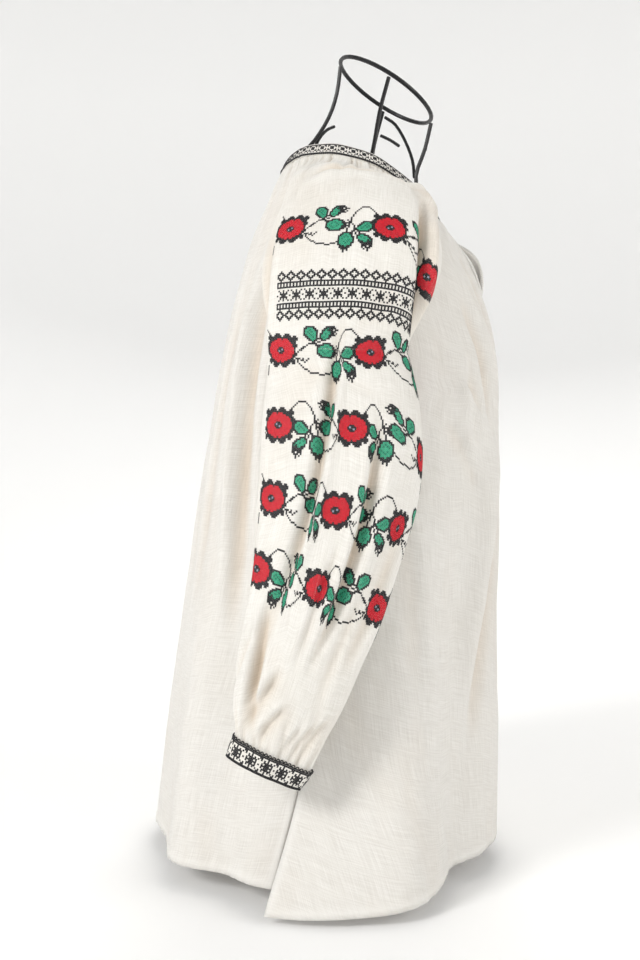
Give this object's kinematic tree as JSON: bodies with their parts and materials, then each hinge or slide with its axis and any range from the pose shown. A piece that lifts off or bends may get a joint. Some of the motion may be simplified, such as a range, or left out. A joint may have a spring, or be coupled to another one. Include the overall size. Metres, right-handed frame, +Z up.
{
  "type": "romanian ie blouse on a wire dress form",
  "caption": "Full-sleeved gathered smock blouse with stitched neckband and cuffs, worn by a limbless standing wire dress form.",
  "frame": {"origin": "on the surface the form stands on, under the middle of the garment's outline", "axes": "+Z up, the front faces -Y, the wearer's right side is -X"},
  "size_m": [0.5776, 0.3847, 0.8741],
  "materials": {
    "cotton": "thin slubby plain-weave cotton, off-white",
    "embroidered_cotton": "the same cotton with cross-stitch in red, green and black",
    "stitched_band": "doubled cotton with close black cross-stitch",
    "crochet_edging": "white crocheted cotton braid",
    "black_wire": "satin black paint on round steel wire"
  },
  "bodies": {
    "root": {"front_panel": "cotton", "back_panel": "cotton", "sleeve_right": "embroidered_cotton", "sleeve_left": "embroidered_cotton", "neckband": "stitched_band", "cuff_right": "stitched_band", "cuff_left": "stitched_band", "slit_edging_right": "crochet_edging", "slit_edging_left": "crochet_edging", "neck_ring": "black_wire", "chest_ring": "black_wire", "waist_ring": "black_wire", "hip_ring": "black_wire", "base_ring": "black_wire", "wire_front": "black_wire", "wire_back": "black_wire", "wire_right": "black_wire", "wire_left": "black_wire", "wire_front_right": "black_wire", "wire_back_right": "black_wire", "wire_back_left": "black_wire", "wire_front_left": "black_wire", "brace_front_upper": "black_wire", "brace_front_lower": "black_wire", "brace_back": "black_wire"}
  },
  "joints": []
}
